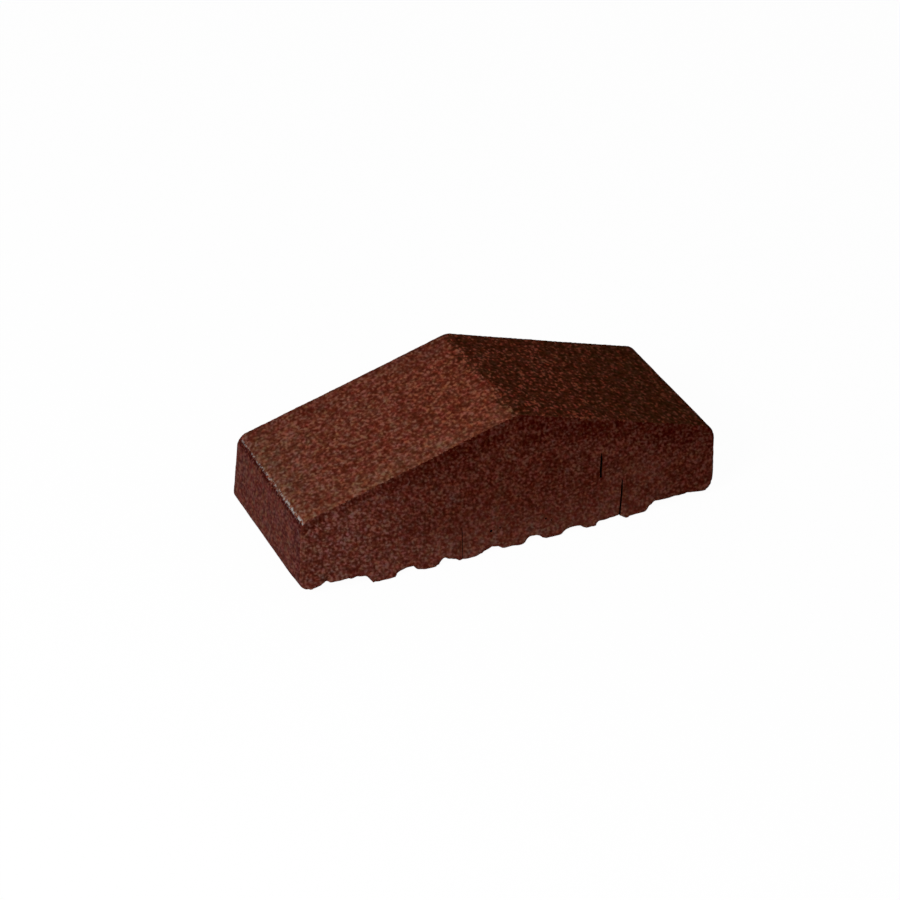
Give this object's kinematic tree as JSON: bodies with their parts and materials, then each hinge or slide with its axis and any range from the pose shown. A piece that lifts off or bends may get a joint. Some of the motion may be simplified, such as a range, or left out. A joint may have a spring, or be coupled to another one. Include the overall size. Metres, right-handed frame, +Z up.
{
  "type": "glazed profiled brick",
  "caption": "Saddleback coping brick with sloping faces, overhanging ends with drip grooves and a ribbed bedding side, glazed dark red-brown.",
  "frame": {"origin": "middle of the bedding side, on the plane that the keying ribs stand on", "axes": "+X across the wall, along the brick's length; +Y along the wall, from one wire-cut face to the other; +Z up to the ridge"},
  "size_m": [0.18, 0.065, 0.058],
  "materials": {
    "glazed_clay": "satin"
  },
  "bodies": {
    "root": {"coping_brick": "glazed_clay"}
  },
  "joints": []
}
